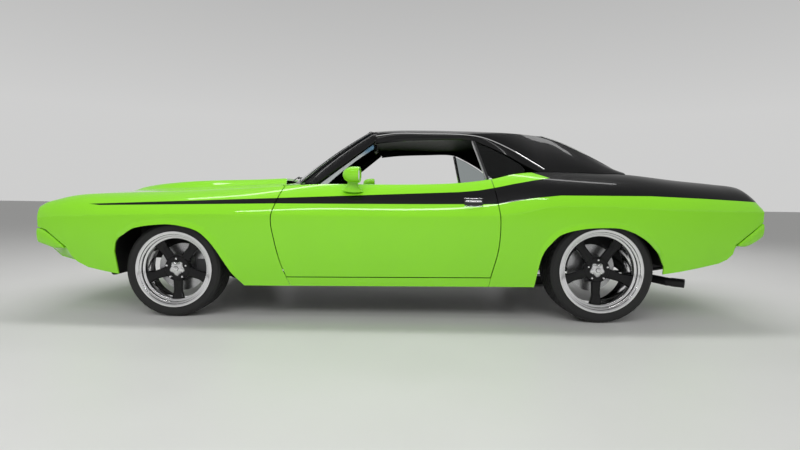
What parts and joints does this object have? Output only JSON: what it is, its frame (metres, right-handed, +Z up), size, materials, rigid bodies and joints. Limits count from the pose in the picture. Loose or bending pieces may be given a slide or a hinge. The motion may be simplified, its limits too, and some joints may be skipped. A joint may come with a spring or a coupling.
{
  "type": "two-door hardtop car",
  "caption": "Full-size two-door hardtop with a long raised hood, steered front wheels, live rear axle, opening doors, hood and deck lid.",
  "frame": {"origin": "on the ground under the middle of the car's bounding box", "axes": "+X towards the tail, +Y to the car's right, +Z up"},
  "size_m": [4.878, 1.9498, 1.3121],
  "materials": {
    "body_paint": "gloss",
    "black_paint": "gloss",
    "chassis_black": "satin",
    "glass": "clear",
    "tinted_glass": "tinted",
    "trim": "matte",
    "seat_vinyl": "satin",
    "tyre": "matte",
    "wheel_alloy": "polished",
    "steel": "satin",
    "cast_iron": "rough",
    "lamp": "clear",
    "tail_lens": "gloss"
  },
  "bodies": {
    "car_body": {"floor_pan": "chassis_black", "front_frame": "chassis_black", "cowl": "chassis_black", "left_fender": "body_paint", "right_fender": "body_paint", "nose_panel": "body_paint", "front_valance": "body_paint", "front_bumper": "body_paint", "grille": "trim", "headlamps": "lamp", "left_rocker": "body_paint", "right_rocker": "body_paint", "left_quarter": "body_paint", "right_quarter": "body_paint", "roof": "black_paint", "windshield": "glass", "rear_window": "glass", "quarter_glass": "tinted_glass", "rear_shelf": "black_paint", "tail_panel": "black_paint", "rear_valance": "body_paint", "rear_bumper": "body_paint", "tail_lamps": "tail_lens", "dashboard": "trim", "front_seats": "seat_vinyl", "rear_seat": "seat_vinyl", "engine": "cast_iron", "driveshaft": "steel", "rear_axle": "cast_iron", "leaf_springs": "chassis_black", "exhaust": "steel", "fuel_tank": "steel", "front_suspension": "chassis_black"},
    "hood": {"hood": "body_paint"},
    "deck_lid": {"deck_lid": "black_paint"},
    "left_door": {"left_door": "body_paint"},
    "right_door": {"right_door": "body_paint"},
    "left_knuckle": {"left_knuckle": "cast_iron"},
    "right_knuckle": {"right_knuckle": "cast_iron"},
    "steering_wheel": {"steering_wheel": "trim"},
    "front_left_wheel": {"front_left_tyre": "tyre", "front_left_wheel": "wheel_alloy"},
    "front_right_wheel": {"front_right_tyre": "tyre", "front_right_wheel": "wheel_alloy"},
    "rear_left_wheel": {"rear_left_tyre": "tyre", "rear_left_wheel": "wheel_alloy"},
    "rear_right_wheel": {"rear_right_tyre": "tyre", "rear_right_wheel": "wheel_alloy"}
  },
  "joints": [
    {"name": "hood_hinge", "type": "hinge", "parent": "car_body", "child": "hood", "pos_m": [-0.735, 0, 0.846], "axis": [0, 1, 0], "range_deg": [0, 50]},
    {"name": "deck_lid_hinge", "type": "hinge", "parent": "car_body", "child": "deck_lid", "pos_m": [1.46, 0, 0.95], "axis": [0, -1, 0], "range_deg": [0, 60]},
    {"name": "left_door_hinge", "type": "hinge", "parent": "car_body", "child": "left_door", "pos_m": [-0.68, -0.866, 0.555], "axis": [0, 0, -1], "range_deg": [0, 60]},
    {"name": "right_door_hinge", "type": "hinge", "parent": "car_body", "child": "right_door", "pos_m": [-0.68, 0.866, 0.555], "axis": [0, 0, 1], "range_deg": [0, 60]},
    {"name": "left_steer", "type": "hinge", "parent": "car_body", "child": "left_knuckle", "pos_m": [-1.47, -0.663, 0.312], "axis": [0, 0, 1], "range_deg": [-32, 32]},
    {"name": "right_steer", "type": "hinge", "parent": "car_body", "child": "right_knuckle", "pos_m": [-1.47, 0.663, 0.312], "axis": [0, 0, 1], "range_deg": [-32, 32]},
    {"name": "steering_wheel_turn", "type": "hinge", "parent": "car_body", "child": "steering_wheel", "pos_m": [-0.32, -0.37, 0.79], "axis": [0.9135, 0, 0.4067], "range_deg": [-512, 512]},
    {"name": "front_left_spin", "type": "hinge", "parent": "left_knuckle", "child": "front_left_wheel", "pos_m": [-1.47, -0.761, 0.312], "axis": [0, -1, 0], "continuous": true},
    {"name": "front_right_spin", "type": "hinge", "parent": "right_knuckle", "child": "front_right_wheel", "pos_m": [-1.47, 0.761, 0.312], "axis": [0, -1, 0], "continuous": true},
    {"name": "rear_left_spin", "type": "hinge", "parent": "car_body", "child": "rear_left_wheel", "pos_m": [1.324, -0.758, 0.341], "axis": [0, -1, 0], "continuous": true},
    {"name": "rear_right_spin", "type": "hinge", "parent": "car_body", "child": "rear_right_wheel", "pos_m": [1.324, 0.758, 0.341], "axis": [0, -1, 0], "continuous": true}
  ],
  "couplings": [
    {"joint": "right_steer", "follows": "left_steer", "ratio": 1},
    {"joint": "steering_wheel_turn", "follows": "left_steer", "ratio": 16}
  ]
}
